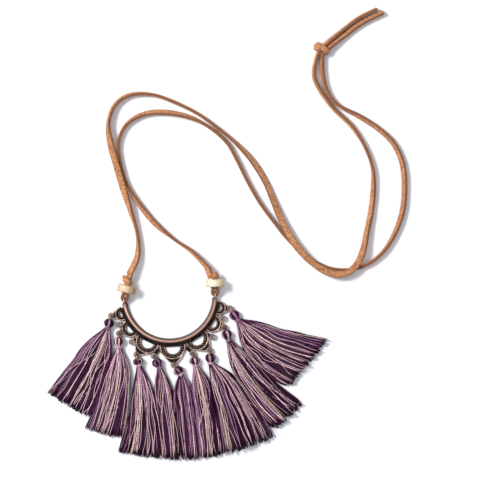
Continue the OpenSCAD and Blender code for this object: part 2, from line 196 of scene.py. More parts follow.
# %% Routes of the two laces
LACE_WIDTH, LACE_THICKNESS = 3.0, 1.5
route_left = [
    [-25.4, 42.4, 3.3, 30], [-22, 50.5, 1.2, 45], [-22, 60, 0.1, 80], [-25, 70.5, 1.4, 60],
    [-28, 80, 3.2, 20], [-31, 90, 3.2, 10], [-34, 101, 2.6, 30], [-35, 110, 1.6, 70],
    [-32, 118.5, 0.8, 70], [-25, 123, 0.3, 70], [-15, 123, 0.1, 85], [-5, 119.5, 0.1, 80],
    [5, 114.5, 0.1, 85], [14, 108, 0.1, 90], [22, 101.5, 0.1, 75], [29.5, 93.5, 0.1, 45],
    [35.5, 84, 0.1, 35], [39.5, 74.5, 0.8, 30], [43.5, 65, 2.2, 15], [49, 55.5, 3.2, 5],
    [56, 48, 3.2, 5], [64, 43, 3.2, 10], [71, 42.5, 3.2, 10], [76, 46, 3.2, 10],
    [79, 52, 2.4, 35], [81, 61, 1.0, 50], [83, 71, 0.1, 50], [84, 81, 0.1, 60],
    [83.5, 90.5, 0.1, 85], [80, 100, 0.1, 90], [74, 109, 0.1, 75], [66, 116.8, 0.1, 80],
    [60, 125, 0.1, 75], [57.3, 132, 0.1, 72], [58.8, 140.7, 0.4, 75],
]
route_right = [
    [10.6, 44.0, 2.9, 50], [3, 52, 1.0, 70], [-5.5, 58, 0.1, 90], [-14, 65, 0.1, 50],
    [-21, 73.5, 0.1, 60], [-26.5, 82.5, 0.1, 90], [-29.5, 92, 0.1, 90], [-30.5, 101.5, 0.1, 90],
    [-27, 109.5, 0.1, 75], [-19, 114.3, 0.1, 60], [-9, 115, 0.1, 50], [1, 113, 0.1, 65],
    [10, 108.5, 0.1, 90], [18, 101.5, 0.1, 90], [23, 93, 0.1, 90], [27.5, 84, 0.1, 85],
    [33, 74.5, 0.1, 85], [39.5, 65.5, 0.1, 90], [46.5, 57, 0.1, 90], [54, 50.5, 0.1, 90],
    [63, 45.5, 0.1, 90], [72, 44.3, 0.1, 90], [80.5, 46.3, 0.1, 90], [88, 52, 0.1, 80],
    [93.5, 60.5, 0.1, 65], [97, 70.5, 0.1, 55], [98, 81, 0.1, 55], [97, 92, 0.1, 55],
    [93, 101, 0.1, 60], [86, 107.8, 0.1, 60], [77.5, 113.3, 0.1, 65], [69.2, 117.6, 0.1, 85],
    [64.6, 122.2, 0.1, 85], [61.5, 130, 0.1, 70], [61, 140.5, 0.4, 72],
]
knot_row_left, knot_row_right = [61.0, 143.6, 1.0, 70], [62.6, 142.6, 0.9, 70]
tail_left = [
    [63.0, 146.1, 1.0, 65], [69.5, 151.5, 0.1, 74], [77, 157.2, 0.1, 76], [85.5, 161.5, 0.1, 78],
]
tail_right = [
    [64.3, 144.3, 1.0, 60], [71.8, 150.3, 0.1, 50], [79.5, 155.8, 0.1, 50], [88.5, 160, 0.1, 60],
]
lace_rows = {"left": [*route_left, knot_row_left, *tail_left],
             "right": [*route_right, knot_row_right, *tail_right]}
for side, rows in lace_rows.items():
    print(side, "lace:", len(rows), "rows,", distance_along(np.array(rows)[:, :3])[-1].round(1), "mm")

# %% [markdown]
# ## The suede laces
# A lace is cut from a hide with a blade, so its section is a flat rectangle with slightly worn
# corners. A rounded rectangle is a circle whose sine and cosine are raised to a small power.
# The width wavers a little along the length, as in any cut strip. The position round the section
# is kept as an attribute, because the cut edges of suede are darker than its two faces.


# %% Section of the lace and its strip
def strip_section(width, thickness, sides=20):
    """Points round a flat strip: half the width times the cosine and half the thickness times
    the sine, each raised to a power below 1 with its sign kept, which squares the corners."""
    angle = 2 * np.pi * (np.arange(sides) + 0.5) / sides
    cos, sin = np.cos(angle), np.sin(angle)
    return np.stack([width / 2 * np.sign(cos) * np.abs(cos) ** 0.45,
                     thickness / 2 * np.sign(sin) * np.abs(sin) ** 0.6], axis=-1)


UNIT_STRIP = strip_section(1, 1)
WIDEST = 1.05


def rise(turn):
    """How far the middle of the strip lies above its underside, from its turn in degrees: the
    highest point of the turned section, where the strip is widest."""
    a = np.radians(turn)[:, None]
    x, y = strip_section(WIDEST * LACE_WIDTH, WIDEST * LACE_THICKNESS).T
    return (x * np.sin(a) + y * np.cos(a)).max(axis=1)


def mark_edges(piece, section):
    """Attribute cut_edge: 1 where the section's point is at the strip's narrow side, else 0."""
    width = np.abs(section[..., 0])
    share = np.clip((width / width.max() - 0.72) / 0.25, 0, 1)
    values = np.broadcast_to(share, (len(piece.data.vertices) // share.shape[-1], share.shape[-1]))
    layer = piece.data.attributes.new("cut_edge", "FLOAT", "POINT")
    layer.data.foreach_set("value", np.ascontiguousarray(values, np.float32).ravel())


def strip_along(name, path, width_way, width=LACE_WIDTH, thickness=LACE_THICKNESS, seed=1):
    """A strip of suede along a path. Its width and thickness waver by a few hundredths with two
    slow waves along the path."""
    distance = distance_along(path)
    waver = 0.03 * np.sin(distance / 3.1 + seed) + 0.02 * np.sin(distance / 1.3 + 2 * seed)
    sizes = np.stack([width * (1 + waver), thickness * (1 - waver)], axis=-1)
    piece = skin(name, carry(path, width_way, UNIT_STRIP * sizes[:, None])[None])
    mark_edges(piece, UNIT_STRIP)
    return piece


print("middle of a lace above the table: flat", rise([0.0]).round(2), "on edge", rise([90.0]).round(2))

# %% Make the two laces
def lace_frame(rows, step=0.6):
    """Centre line and width way of a lace. The width way is the level direction square to the
    lace, turned about the lace by the row's turn."""
    curve = through_rows(rows, step)
    turn = curve[:, 3]
    path = np.column_stack([curve[:, :2], curve[:, 2] + rise(turn)])
    along = unit(np.gradient(path, axis=0))
    level = unit(np.cross(along, UP))
    upward = np.cross(level, along)
    a = np.radians(turn)[:, None]
    return path, level * np.cos(a) + upward * np.sin(a)


laces, lace_paths = {}, {}
for number, (side, rows) in enumerate(lace_rows.items()):
    path, width_way = lace_frame(rows)
    laces[side] = strip_along(f"lace_{side}", path, width_way, seed=number + 1)
    lace_paths[side] = path
    print(side, "lace:", len(path), "rings")

# %% [markdown]
# ## Ends of the crescent
# Beyond each end of the crescent stands a small ring. The lace is doubled through it, both legs
# pass up through a disc bead, and a knot keeps the bead from sliding. All of it sits on one line
# that starts at the ring, so the places are worked out from the ring and a heading.

# %% Places at the two ends
arc_centre = np.array([-7.6, 32.7])
ARC_RADIUS, BAR_END_ANGLE, PENDANT_TURN = 20.4, 81.5, 3.5
END_RING_OUT, RING_TO_BEAD, BEAD_RADIUS, BEAD_LENGTH = 1.9, 5.5, 4.3, 3.4
BEAD_HEIGHT = BEAD_RADIUS + 0.05
end_heading = {"left": 13.0, "right": 0.0}


def ray(angle):
    """Direction at an angle from straight down in the plan, towards +X as the angle grows."""
    a = np.radians(angle)
    return np.stack([np.sin(a), -np.cos(a)], axis=-1)


def on_table(point):
    """A point given from the arc's centre, turned with the pendant and moved to its place."""
    a = np.radians(PENDANT_TURN)
    turn = np.array([[np.cos(a), -np.sin(a)], [np.sin(a), np.cos(a)]])
    return arc_centre + np.asarray(point) @ turn.T


def end_place(side, across, along, height):
    """A point at an end, from its ring: so far across, along the heading, and above the table."""
    sign = -1 if side == "left" else 1
    angle = np.radians(sign * BAR_END_ANGLE)
    ring = on_table(ARC_RADIUS * ray(sign * BAR_END_ANGLE)
                    + sign * END_RING_OUT * np.array([np.cos(angle), np.sin(angle)]))
    h = np.radians(end_heading[side])
    plan = (ring + np.multiply.outer(along, [np.sin(h), np.cos(h)])
            + np.multiply.outer(across, [np.cos(h), -np.sin(h)]))
    return np.concatenate([plan, np.broadcast_to(height, plan.shape[:-1])[..., None]], axis=-1)


for side in end_heading:
    print(side, "ring at", end_place(side, 0.0, 0.0, 2.0).round(2))

# %% [markdown]
# ## The loops under the beads
# Between the bead and the ring the doubled lace narrows to a tight bend. The rows go down one
# leg, and the other leg mirrors them, so the whole loop is one smooth strip.

# %% Loops of lace through the end rings
loop_leg = np.array([
    # across, along, height, width, thickness
    [0.8, 7.15, 4.4, 2.5, 1.5], [0.8, 5.0, 4.45, 2.4, 1.5], [0.84, 3.7, 4.4, 2.4, 1.55],
    [0.92, 2.6, 3.85, 2.4, 1.65], [1.18, 1.6, 2.95, 2.0, 1.45], [1.0, 0.5, 2.2, 1.6, 1.15],
    [0.5, 0.05, 2.0, 1.4, 1.05],
])
loops = {}
for side in end_heading:
    rows = np.concatenate([loop_leg, loop_leg[::-1] * [-1, 1, 1, 1, 1]])
    curve = through_rows(rows, 0.35)
    path = end_place(side, curve[:, 0], curve[:, 1], curve[:, 2])
    rings = carry(path, UP, UNIT_STRIP * curve[:, None, 3:])
    loops[side] = skin(f"lace_loop_{side}", rings[None])
    mark_edges(loops[side], UNIT_STRIP)
    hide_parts(f"eye_loop_{side}")
print("loops:", len(rings), "rings each")

# %% [markdown]
# ## The knots
# In a knot the lace winds round itself with its flat side inwards. A wrap is a helix: the strip
# goes round an axis while it moves along it, and both of its ends dive to the axis, where they
# are lost under the turns. Two to four wraps that lean against each other read as one drawn
# knot, and a short straight core of lace joins them to the lace that runs on. A knot is a table
# of wraps, because only their places, headings and sizes differ.


# %% A wrap of lace round an axis
WRAP_THICKNESS = 1.3


def wrap(middle, offset, heading, turns, start, radius, pitch, width, seed, flat=1.0):
    """A helix in millimetres: the angle runs from start over the turns, the distance from the
    axis is the radius, drawn in over the first and last eighth, and the place on the axis grows
    with the angle by pitch a turn. flat squashes the turns' height."""
    t = np.linspace(0, 1, int(60 * turns))
    angle = np.radians(start) + 2 * np.pi * turns * t
    ends = np.clip(np.minimum(t, 1 - t) * 8, 0, 1)
    r = radius * (0.35 + 0.65 * np.sin(np.pi / 2 * ends))
    h = np.radians(heading)
    axis = np.array([np.sin(h), np.cos(h), 0.0])
    across = np.array([np.cos(h), -np.sin(h), 0.0])
    path = (middle + offset + np.outer(pitch * turns * (t - 0.5), axis)
            + np.outer(r * np.cos(angle), across) + np.outer(flat * r * np.sin(angle), UP))
    return strip_along("wrap", path, axis, width, WRAP_THICKNESS, seed)


def one_piece(name, parts):
    """Joins pieces of the same kind into one mesh."""
    with bpy.context.temp_override(active_object=parts[0], selected_editable_objects=parts):
        bpy.ops.object.join()
    parts[0].name = parts[0].data.name = name
    return parts[0]


def drawn_knot(name, middle, wraps, core):
    """One wrap for each row of a table, and a core: its start, its end, its width way, its
    width, its thickness and its seed."""
    parts = [wrap(middle, *row) for row in wraps]
    start, end, way, *sizes = core
    parts.append(strip_along("core", np.linspace(start, end, 9), np.array(way), *sizes))
    return one_piece(name, parts)


# %% Knots above the beads
knot_left, knot_right = end_place("left", -0.35, 8.9, 4.4), end_place("right", -0.2, 8.7, 4.5)
# Columns: offset from the knot's middle, heading, turns, start, radius, pitch, width, seed, and
# how flat the turns are where they are squashed.
wraps_left = [
    ([0.0, 0.0, 0.0], 39, 1.3, 150, 1.65, 0.3, 2.2, 3),
    ([-0.5, 1.6, -0.3], 25, 1.1, 60, 1.35, 0.3, 1.7, 4),
]
wraps_right = [
    ([0.3, -0.7, -0.1], -22, 1.2, 130, 0.95, 0.1, 1.2, 6),
    ([0.1, 0.0, 0.1], -25, 1.2, 150, 1.35, 0.1, 1.3, 12),
    ([-0.1, 0.7, 0.0], -28, 1.2, 140, 0.95, 0.1, 1.2, 15),
    ([-1.6, 0.1, -0.6], 40, 1.1, 60, 1.3, 0.2, 1.8, 7),
]
core_left = (knot_left - [0.5, 2.3, 0.5], lace_paths["left"][3], [0.9, 0.0, 0.5], 2.6, 1.7, 5)
core_right = (knot_right - [1.6, 0.9, 0.2], lace_paths["right"][3], [0.8, 0.6, 0.5], 2.7, 1.7, 8)
knots = {
    "left": drawn_knot("bead_knot_left_lace", knot_left, wraps_left, core_left),
    "right": drawn_knot("bead_knot_right_lace", knot_right, wraps_right, core_right),
}
for side, knot in knots.items():
    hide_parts(f"bead_knot_{side}")
    print(knot.name, len(knot.data.polygons), "faces")

# %% Knot that ties the two laces together
tie_middle = np.array([61.0, 143.4, 2.7])
tie_wraps = [
    ([-1.7, -0.2, 0.0], 18, 1.2, 130, 1.55, 0.2, 1.4, 9),
    ([-1.3, 0.8, 0.1], 22, 1.2, 150, 2.0, 0.2, 1.5, 13),
    ([-0.8, 1.8, 0.0], 26, 1.2, 140, 1.5, 0.2, 1.4, 14),
    ([0.8, -0.3, 0.0], 41, 1.2, 120, 2.1, 0.3, 2.6, 10, 0.9),
]
tie_core = (tie_middle - [1.2, 2.4, 0.7], tie_middle + [1.6, 2.0, -0.8], [0.6, 0.0, 0.8], 2.6, 2.4, 11)
tie_knot = drawn_knot("tie_knot_lace", tie_middle, tie_wraps, tie_core)
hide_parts("tie_knot")
print(tie_knot.name, len(tie_knot.data.polygons), "faces")

# %% [markdown]
# Each lace's cord and tail from the frame are hidden, because the lace made above stands for
# them: its length is what the picture shows from end to end, and its far end is simply cut.

for side, path in lace_paths.items():
    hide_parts(f"cord_{side}", f"tail_{side}")

# %% [markdown]
# ## The disc beads
# A bead is a short cylinder, turned from a pale nut shell or bone, with an eased rim and a wide
# hole. It stands on its rim, with the lace through it. Its profile is carried round the hole as
# a closed tube, and a few slow waves round the rim keep it from looking machined.


# %% Beads
BEAD_HOLE, BEAD_EASE, RIM_STARTS = 2.05, 0.75, 3.2


def bead_profile():
    """Closed outline of the bead's wall, as distance from the axis and place along it: the hole
    with eased mouths, two flat faces, and a slightly crowned rim."""
    half, hole = BEAD_LENGTH / 2, BEAD_HOLE
    arc = np.radians(np.linspace(-90, 90, 13))
    rim = np.stack([BEAD_RADIUS - BEAD_EASE + BEAD_EASE * np.cos(arc),
                    np.sign(arc) * (half - BEAD_EASE) + BEAD_EASE * np.sin(arc)], axis=-1)
    faces = np.array([[3.0, half], [hole + 0.35, half], [hole + 0.06, half - 0.25], [hole, 0.6],
                      [hole, -0.6], [hole + 0.06, 0.25 - half], [hole + 0.35, -half], [3.0, -half]])
    return np.concatenate([rim, faces])


beads = {}
angle = np.linspace(0, 2 * np.pi, 72, endpoint=False)
out, along = bead_profile().T
for side, phase in (("left", 0.4), ("right", 2.1)):
    uneven = 1 - 0.012 * (1 + np.sin(3 * angle + phase))
    radius = out * np.where(out > RIM_STARTS, uneven[:, None], 1)
    place = along * (1 + 0.03 * np.sin(2 * angle + phase))[:, None]
    points = end_place(side, radius * np.cos(angle)[:, None], RING_TO_BEAD + place,
                       BEAD_HEIGHT + radius * np.sin(angle)[:, None])
    beads[side] = skin(f"disc_bead_{side}", points[None], closed=True)
    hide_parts(f"bead_{side}")
print("bead rings:", len(angle), "profile points:", len(out))

# %% [markdown]
# ## The casting
# The crescent's solid already has every rim, grain, web and eye, so its shape is kept. Its mesh
# is loose triangles, and a copy of it is welded, so that round parts can be shaded smoothly and
# only true edges stay sharp.

# %% Welded copy of the casting
import bmesh

casting = put_in_scene("crescent_casting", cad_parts["crescent"].data.copy())
welded = bmesh.new()
welded.from_mesh(casting.data)
bmesh.ops.remove_doubles(welded, verts=welded.verts, dist=0.002 * MM)
welded.to_mesh(casting.data)
welded.free()
casting.data.materials.clear()
casting.data.polygons.foreach_set("use_smooth", np.ones(len(casting.data.polygons), bool))
casting.data.set_sharp_from_angle(angle=np.radians(32))
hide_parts("crescent")
print("casting:", len(casting.data.vertices), "points,", len(casting.data.polygons), "faces")

# %% [markdown]
# ## Where each tassel hangs
# A row per tassel, from the left: the eye it hangs from, as angle and reach from the arc's
# centre, the neck where its threads are tied, the middle and end of both edges of its skirt,
# and how high its hem stands, over the usual hem's 3 mm. The same rows drive the jump ring, the
# head, the tie and the skirt.

# %% Table of the tassels
tassel_rows = [
    [(-74.4, 27.8), (-35.3, 18.2), (-50.2, 4.4), (-61.8, -10.6), (-36, -3), (-43.4, -21.1), 1.0],
    [(-56.5, 28.3), (-30.3, 9.6), (-36.6, -8), (-45, -26.3), (-25.4, -8.6), (-27.8, -30.3), 1.0],
    [(-32.7, 30.4), (-21.2, 1.3), (-24.4, -18), (-29.9, -36.8), (-13.9, -18.3), (-11.4, -39.2), 1.1],
    [(-18.2, 28), (-12, 0.4), (-12.6, -18), (-10.8, -39.5), (-5.5, -17.8), (-2.9, -39.5), 0.9],
    [(0, 31.3), (-2.2, -2.6), (-4.3, -18), (-2.2, -39.5), (3.7, -17.8), (6.2, -39.3), 1.0],
    [(18.2, 28), (4.2, 1.2), (4.5, -18), (6.8, -39.2), (12.9, -16.3), (15.3, -37.8), 1.1],
    [(32.7, 30.4), (11, 2.3), (13.9, -17), (16.2, -37.7), (25.2, -9.9), (38, -30.2), 1.5],
    [(56.5, 28.3), (19, 12.6), (25.3, -7.9), (38.8, -26.6), (34.4, -2), (51.6, -15.4), 1.2],
    [(74.4, 27.8), (23.2, 21.6), (30.2, 3.8), (45.4, -7.4), (42.6, 17.2), (62.5, 12.8), 1.2],
]
RING_HEIGHT, EYE_TO_RING, RING_RADIUS, WIRE_RADIUS = 2.1, 1.42, 1.7, 0.35
TIE_RADIUS, HEM_HEIGHT, FLOOR_GAP = 1.25, 3.0, 0.05
NECK_HALF_WIDTH, NECK_HALF_HEIGHT = 0.5, TIE_RADIUS - 0.15
PUFF, PUFF_END = 1.2, 0.5


class Tassel:
    """Places of one tassel: its eye, neck, the way it hangs, its two edges and its hem."""

    def __init__(self, row):
        eye, neck, *edges, hem = row
        self.eye = on_table(eye[1] * ray(eye[0]))
        self.neck = np.array(neck, float)
        self.hang = unit(self.neck - self.eye)
        self.beside = np.array([-self.hang[1], self.hang[0]])
        self.left, self.right = np.array(edges[:2], float), np.array(edges[2:], float)
        self.out = unit(self.right[1] - self.left[1])
        self.hem_height = hem * HEM_HEIGHT

    def edge(self, right, v):
        """Edge of the skirt: the quadratic curve through the neck's side, the edge's middle and
        its end as v runs from 0 to 1. Below the tie it puffs out by a low arch, 4 v (e - v) / e^2,
        down to the share e of its length."""
        v = np.asarray(v, float)[..., None]
        middle, end = self.right if right else self.left
        side = self.out if right else -self.out
        start = self.neck + NECK_HALF_WIDTH * side
        bend = 2 * middle - (start + end) / 2
        arch = np.clip(4 * v * (PUFF_END - v) / PUFF_END ** 2, 0, None)
        return start * (1 - v) ** 2 + bend * 2 * v * (1 - v) + end * v ** 2 + PUFF * arch * side

    def slab(self, v):
        """Half of the skirt's height, which goes from the neck's to the hem's with the root of v,
        and the height of its middle, which comes down to rest on the table from half way."""
        half = NECK_HALF_HEIGHT * (1 - np.sqrt(v)) + self.hem_height / 2 * np.sqrt(v)
        ease = np.minimum(1, 2 * v)
        return half, np.maximum(RING_HEIGHT * (1 - ease) + half * ease, half) + FLOOR_GAP


tassels = [Tassel(row) for row in tassel_rows]
print("tassels:", len(tassels), "first eye", tassels[0].eye.round(2))

# %% [markdown]
# ## The jump rings
# Each tassel hangs from a wire ring, bent shut so that its two cut ends nearly meet. The wire is
# a circle carried round a circle that stops a few degrees short of closing.

# %% Jump rings with their cut
HALF_CUT = 4
wire = WIRE_RADIUS * circle(12)
jump_rings = []
for number, tassel in enumerate(tassels, 1):
    cut = np.radians(150 + 47 * number)  # every cut faces another way
    angle = cut + np.radians(np.linspace(HALF_CUT, 360 - HALF_CUT, 44))
    hang = np.append(tassel.hang, 0)
    path = (np.append(tassel.eye + EYE_TO_RING * tassel.hang, RING_HEIGHT)
            + RING_RADIUS * (np.outer(np.cos(angle), hang) + np.outer(np.sin(angle), UP)))
    ring = skin(f"wire_ring_{number}", carry(path, np.append(tassel.beside, 0), wire)[None])
    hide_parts(f"jump_ring_{number}")
    jump_rings.append(ring)
print("jump rings:", len(jump_rings))

# %% [markdown]
# ## The tassels
# A tassel is a hank of thread, folded over its ring and tied below the fold. It is wound from
# several yarns side by side, so its threads hang in strands: thick dark ones that fill the
# skirt, and thin pale ones that lie on top as crisp lines. The strands are planned first, one
# value per strand in each array, and then every thread of every strand is worked out at once.

# %% Colours of the yarns
yarns = {
    "plum": (0.036, 0.004, 0.026), "aubergine": (0.075, 0.011, 0.055), "purple": (0.15, 0.042, 0.13),
    "lilac": (0.50, 0.27, 0.43), "pink": (0.96, 0.66, 0.72), "cream": (0.95, 0.69, 0.57),
    "sage": (0.50, 0.41, 0.34),
}
yarn_names, yarn_colours = list(yarns), np.array(list(yarns.values()))
FIRST_PALE = yarn_names.index("lilac")
# Shares of the first four yarns among the strands that fill a skirt.
fill_shares = [0.40, 0.37, 0.19, 0.04]
# One row per tassel: shares of lilac, pink, cream and sage among its pale strands, then its
# bands of one yarn. A band has a yarn, a place across from -1 to 1, and a number of strands.
pale_rows = [
    ([3, 10, 3, 0], [("aubergine", 0.75, 10), ("cream", 0.15, 2), ("plum", -0.2, 4)]),
    ([3, 8, 4, 1], [("cream", -0.1, 2), ("aubergine", 0.25, 8), ("sage", 0.9, 2)]),
    ([4, 8, 4, 0], [("cream", -0.3, 2), ("plum", 0.15, 9), ("aubergine", -0.8, 4)]),
    ([7, 6, 2, 0], [("aubergine", -0.5, 5), ("pink", 0.3, 1)]),
    ([8, 6, 2, 0], [("pink", 0.4, 1), ("aubergine", 0.0, 4)]),
    ([4, 6, 4, 0], [("cream", -0.1, 2), ("plum", 0.45, 9), ("lilac", -0.8, 2)]),
    ([4, 8, 3, 0], [("cream", -0.7, 2), ("plum", 0.0, 10), ("pink", 0.5, 1)]),
    ([4, 8, 2, 1], [("sage", -0.3, 2), ("plum", 0.1, 10), ("aubergine", -0.7, 4)]),
    ([8, 7, 2, 0], [("lilac", 0.85, 3), ("cream", 0.05, 2), ("aubergine", -0.3, 9), ("sage", 0.15, 1)]),
]
print("yarns:", len(yarns))


# %% One group of strands
SECTION_POWER = 2.6
ON_TOP, SUNK_AT_NECK = 0.8, 0.45


def lay_strands(yarn, across, threads, depth, sway, drift, hold, rng):
    """Arrays with one value per strand. across and depth place it in the skirt's section, a
    rounded box from -1 to 1. It sways slowly and ripples faster by about so many millimetres,
    drifts across, and holds its threads loosely or tightly. A strand on top starts among the
    others at the neck."""
    count = len(yarn)
    across = np.clip(across, -0.99, 0.99)
    room = (1 - np.abs(across) ** SECTION_POWER) ** (1 / SECTION_POWER)
    return {
        "yarn": yarn,
        "across": across,
        "threads": rng.integers(*threads, count),
        "depth": room * rng.uniform(*depth, count),
        "sunk": np.full(count, SUNK_AT_NECK if depth[0] > ON_TOP else 0.0),
        "sway": sway * rng.normal(0, 1, count),
        "ripple": 0.35 * sway * rng.normal(0, 1, count),
        "drift": drift * rng.normal(0, 1, count) ** 3,
        "hold": np.full(count, hold),
        "pace": rng.uniform(3, 6, count),
        "phase": rng.uniform(0, 2 * np.pi, count),
        "twist": rng.uniform(2, 7, count),
        "uneven": rng.uniform(-0.04, 0.02, count),
    }


# %% Plan the strands of a skirt
# Columns: the least number of strands, how many more for each millimetre of the hem, and then
# threads, depth, sway, drift and hold, as one group of strands takes them.
strand_groups = {
    "fill": (32, 2.1, (6, 10), (-1, 0.85), 0.3, 0.01, 1.0),
    "pale on top": (4, 0.5, (1, 3), (1.05, 1.2), 0.6, 0.045, 0.3),
    "pale inside": (1, 0.1, (2, 4), (-0.9, 0.8), 0.4, 0.03, 0.7),
    "wisps": (3, 0.18, (1, 2), (1.0, 1.25), 1.2, 0.14, 0.5),
}
# A band's threads and spread for each strand, of a pale or a dark yarn, and the other columns.
PALE_BAND, DARK_BAND = ((1, 4), 0.05), ((5, 8), 0.03)
BAND_LAY = ((0.95, 1.1), 0.2, 0.005, 0.8)


def pale_yarns(count, shares, rng):
    """One of the four pale yarns for each strand, by their shares."""
    return FIRST_PALE + rng.choice(4, count, p=np.divide(shares, sum(shares)))


def plan_strands(tassel, pale_shares, bands, rng):
    """Strands of one skirt: dark ones that fill it, pale ones on top of it and inside it, wisps
    of a single thread, and bands of one yarn. A wider skirt has more of each but the bands. The
    strands of a group lie one in each of so many equal steps across."""
    width = np.linalg.norm(tassel.right[1] - tassel.left[1])
    groups = []
    for name, (least, per_mm, *lay) in strand_groups.items():
        count = int(least + per_mm * width)
        yarn = (rng.choice(4, count, p=fill_shares) if name == "fill"
                else pale_yarns(count, pale_shares, rng))
        across = 2 * (np.arange(count) + rng.random(count)) / count - 1
        groups.append(lay_strands(yarn, across, *lay, rng))
    for name, place, count in bands:
        yarn = np.full(count, yarn_names.index(name))
        threads, spread = PALE_BAND if yarn[0] >= FIRST_PALE else DARK_BAND
        across = place + spread * count * rng.uniform(-1, 1, count)
        groups.append(lay_strands(yarn, across, threads, *BAND_LAY, rng))
    return {key: np.concatenate([group[key] for group in groups]) for key in groups[0]}


# %% [markdown]
# At the neck the strands fill a disc, and towards the hem that disc opens into a flat slab that
# fills the skirt's edges. A thread follows its strand and turns slowly about it, so a strand
# looks like a loose rope. The hem is cut by hand, so no two threads end quite level.

# %% Threads of a skirt
THREAD_RADIUS, SKIRT_RINGS = 0.17, 21
LEAST_HALF_WIDTH, DRIFT_LIMIT = TIE_RADIUS - 0.25, 1.03


def skirt_threads(tassel, strands, rng):
    """Paths of the threads from the neck to the hem, and the strand of each. The place across is
    the strand's share of the skirt's half width, with its drift but hardly past the edge, plus
    its sway and its ripple, plus the thread's own offset from the strand's middle times the
    cosine of its turn. The height is the slab's, with the sine of the same turn."""
    of = np.repeat(np.arange(len(strands["yarn"])), strands["threads"])
    s = {key: values[of][:, None] for key, values in strands.items()}
    count = len(of)
    # A thread's length as a share of the skirt's: longest in the middle, and ragged at the hem.
    reach = 1.01 + 0.015 * (1 - s["across"] ** 2) + s["uneven"] - 0.04 * rng.random((count, 1)) ** 2
    travel = np.linspace(0, 1, SKIRT_RINGS) ** 0.9 * reach
    left, right = tassel.edge(False, travel), tassel.edge(True, travel)
    width = np.linalg.norm(right - left, axis=-1)
    side = (right - left) / width[..., None]
    half = np.maximum(width / 2, LEAST_HALF_WIDTH)
    half_height, middle = tassel.slab(travel)
    loose = np.minimum(1, 2.5 * travel)
    bundle = s["hold"] * THREAD_RADIUS * np.sqrt(s["threads"]) * (0.3 + 0.8 * loose)
    own = bundle * np.sqrt(rng.random((count, 1)))
    turn = 2 * np.pi * rng.random((count, 1)) + s["twist"] * travel
    swing = s["sway"] * (np.sin(s["pace"] * travel + s["phase"]) - np.sin(s["phase"]))
    swing += s["ripple"] * np.sin(3.1 * s["pace"] * travel + 2 * s["phase"])
    share = np.clip(s["across"] + s["drift"] * travel ** 1.5, -DRIFT_LIMIT, DRIFT_LIMIT)
    place = half * share + loose * swing
    plan = (left + right) / 2 + side * (place + own * np.cos(turn))[..., None]
    depth = s["depth"] * (1 - s["sunk"] * (1 - loose))
    height = middle + depth * (half_height - 0.6 * bundle) + own * np.sin(turn)
    height = np.maximum(height, THREAD_RADIUS + FLOOR_GAP)
    return np.concatenate([plan, height[..., None]], axis=-1), of


# %% [markdown]
# Threads have three sides each: at a width of a third of a millimetre nobody sees a corner, and
# smooth shading rounds them. Three sides and twenty lengths keep a thread to about sixty faces.
# The colour goes on every point, because the last two rings of each skirt thread carry painted shade at
# its cut end.


# %% From paths to thread meshes
THREAD_SIDES = 3
NEARLY_UP = np.array([0.0, 0.02, 1.0])  # so that a thread that stands upright has a width way too


def spin(name, paths, colours, radius):
    """Tubes round many paths at once, with a colour for each ring."""
    piece = skin(name, carry(paths, NEARLY_UP, radius * circle(THREAD_SIDES)))
    per_ring = np.broadcast_to(colours, paths.shape).reshape(-1, 3)
    per_point = np.ones((THREAD_SIDES * len(per_ring), 4), np.float32)
    per_point[:, :3] = np.repeat(per_ring, THREAD_SIDES, axis=0)
    layer = piece.data.attributes.new("dye_and_hem_shade", "FLOAT_COLOR", "POINT")
    layer.data.foreach_set("color", per_point.ravel())
    return piece


def thread_colours(yarn, rng):
    """The yarn's colour for each thread, lighter or darker by about a tenth."""
    return (yarn_colours[yarn] * (1 + rng.normal(0, 0.12, len(yarn)))[:, None])[:, None]


# %% [markdown]
# The head is the same hank where it is folded over the jump ring, and a thread of a pale yarn is
# wound round the neck below it. The fold is made of loops of single threads, because they catch
# the light one by one. They lie in nine bunches, so that the head shows bands like the skirt.

# %% Head and tie of a tassel
HEAD_THREADS, BUNCHES, BUNCH_HALF_WIDTH, HEAD_RADIUS = 153, 9, 0.45, 2.35
EYE_TO_LOOP = EYE_TO_RING + RING_RADIUS


def head_threads(tassel, bunch, rng, rings=15):
    """Threads folded over the ring's wire. The angle runs from the neck round the wire and back.
    Over the half turn a thread follows a flattened circle about the wire, and beyond it its legs
    bulge and close in to the neck. Each bunch lies in its own plane through the line from the
    wire to the neck, and the planes turn from upright to upright, so that the head is a round
    knob with bands along it."""
    angle = np.linspace(-180, 180, rings)[None]
    layer = np.sqrt(rng.random((len(bunch), 1)))
    level = rng.uniform(-1, 1, layer.shape) * BUNCH_HALF_WIDTH
    radius = WIRE_RADIUS + 0.1 + (HEAD_RADIUS - WIRE_RADIUS - 0.3) * layer
    past = np.clip((np.abs(angle) - 90) / 90, 0, 1)
    ease = past ** 2 * (3 - 2 * past)
    bent = np.radians(np.clip(angle, -90, 90))
    fall = np.linalg.norm(tassel.neck - tassel.eye) - EYE_TO_LOOP
    down = -0.75 * radius * np.cos(bent) + past * fall
    aside = np.where(np.abs(angle) > 90, np.sign(angle), np.sin(bent)) * (
        radius * (1 - ease) * (1 + 0.2 * np.sin(np.pi * past)) + layer * (TIE_RADIUS - 0.3) * ease)
    planes = np.linspace(-80, 80, BUNCHES) + rng.uniform(-9, 9, BUNCHES) + rng.uniform(-12, 12)
    roll = np.radians(planes)[bunch][:, None]
    across = aside * np.cos(roll) - level * np.sin(roll)
    plan = (tassel.eye + EYE_TO_LOOP * tassel.hang + down[..., None] * tassel.hang
            + across[..., None] * tassel.beside)
    height = RING_HEIGHT + aside * np.sin(roll) + level * np.cos(roll)
    return np.concatenate([plan, np.maximum(height, 0.3)[..., None]], axis=-1)


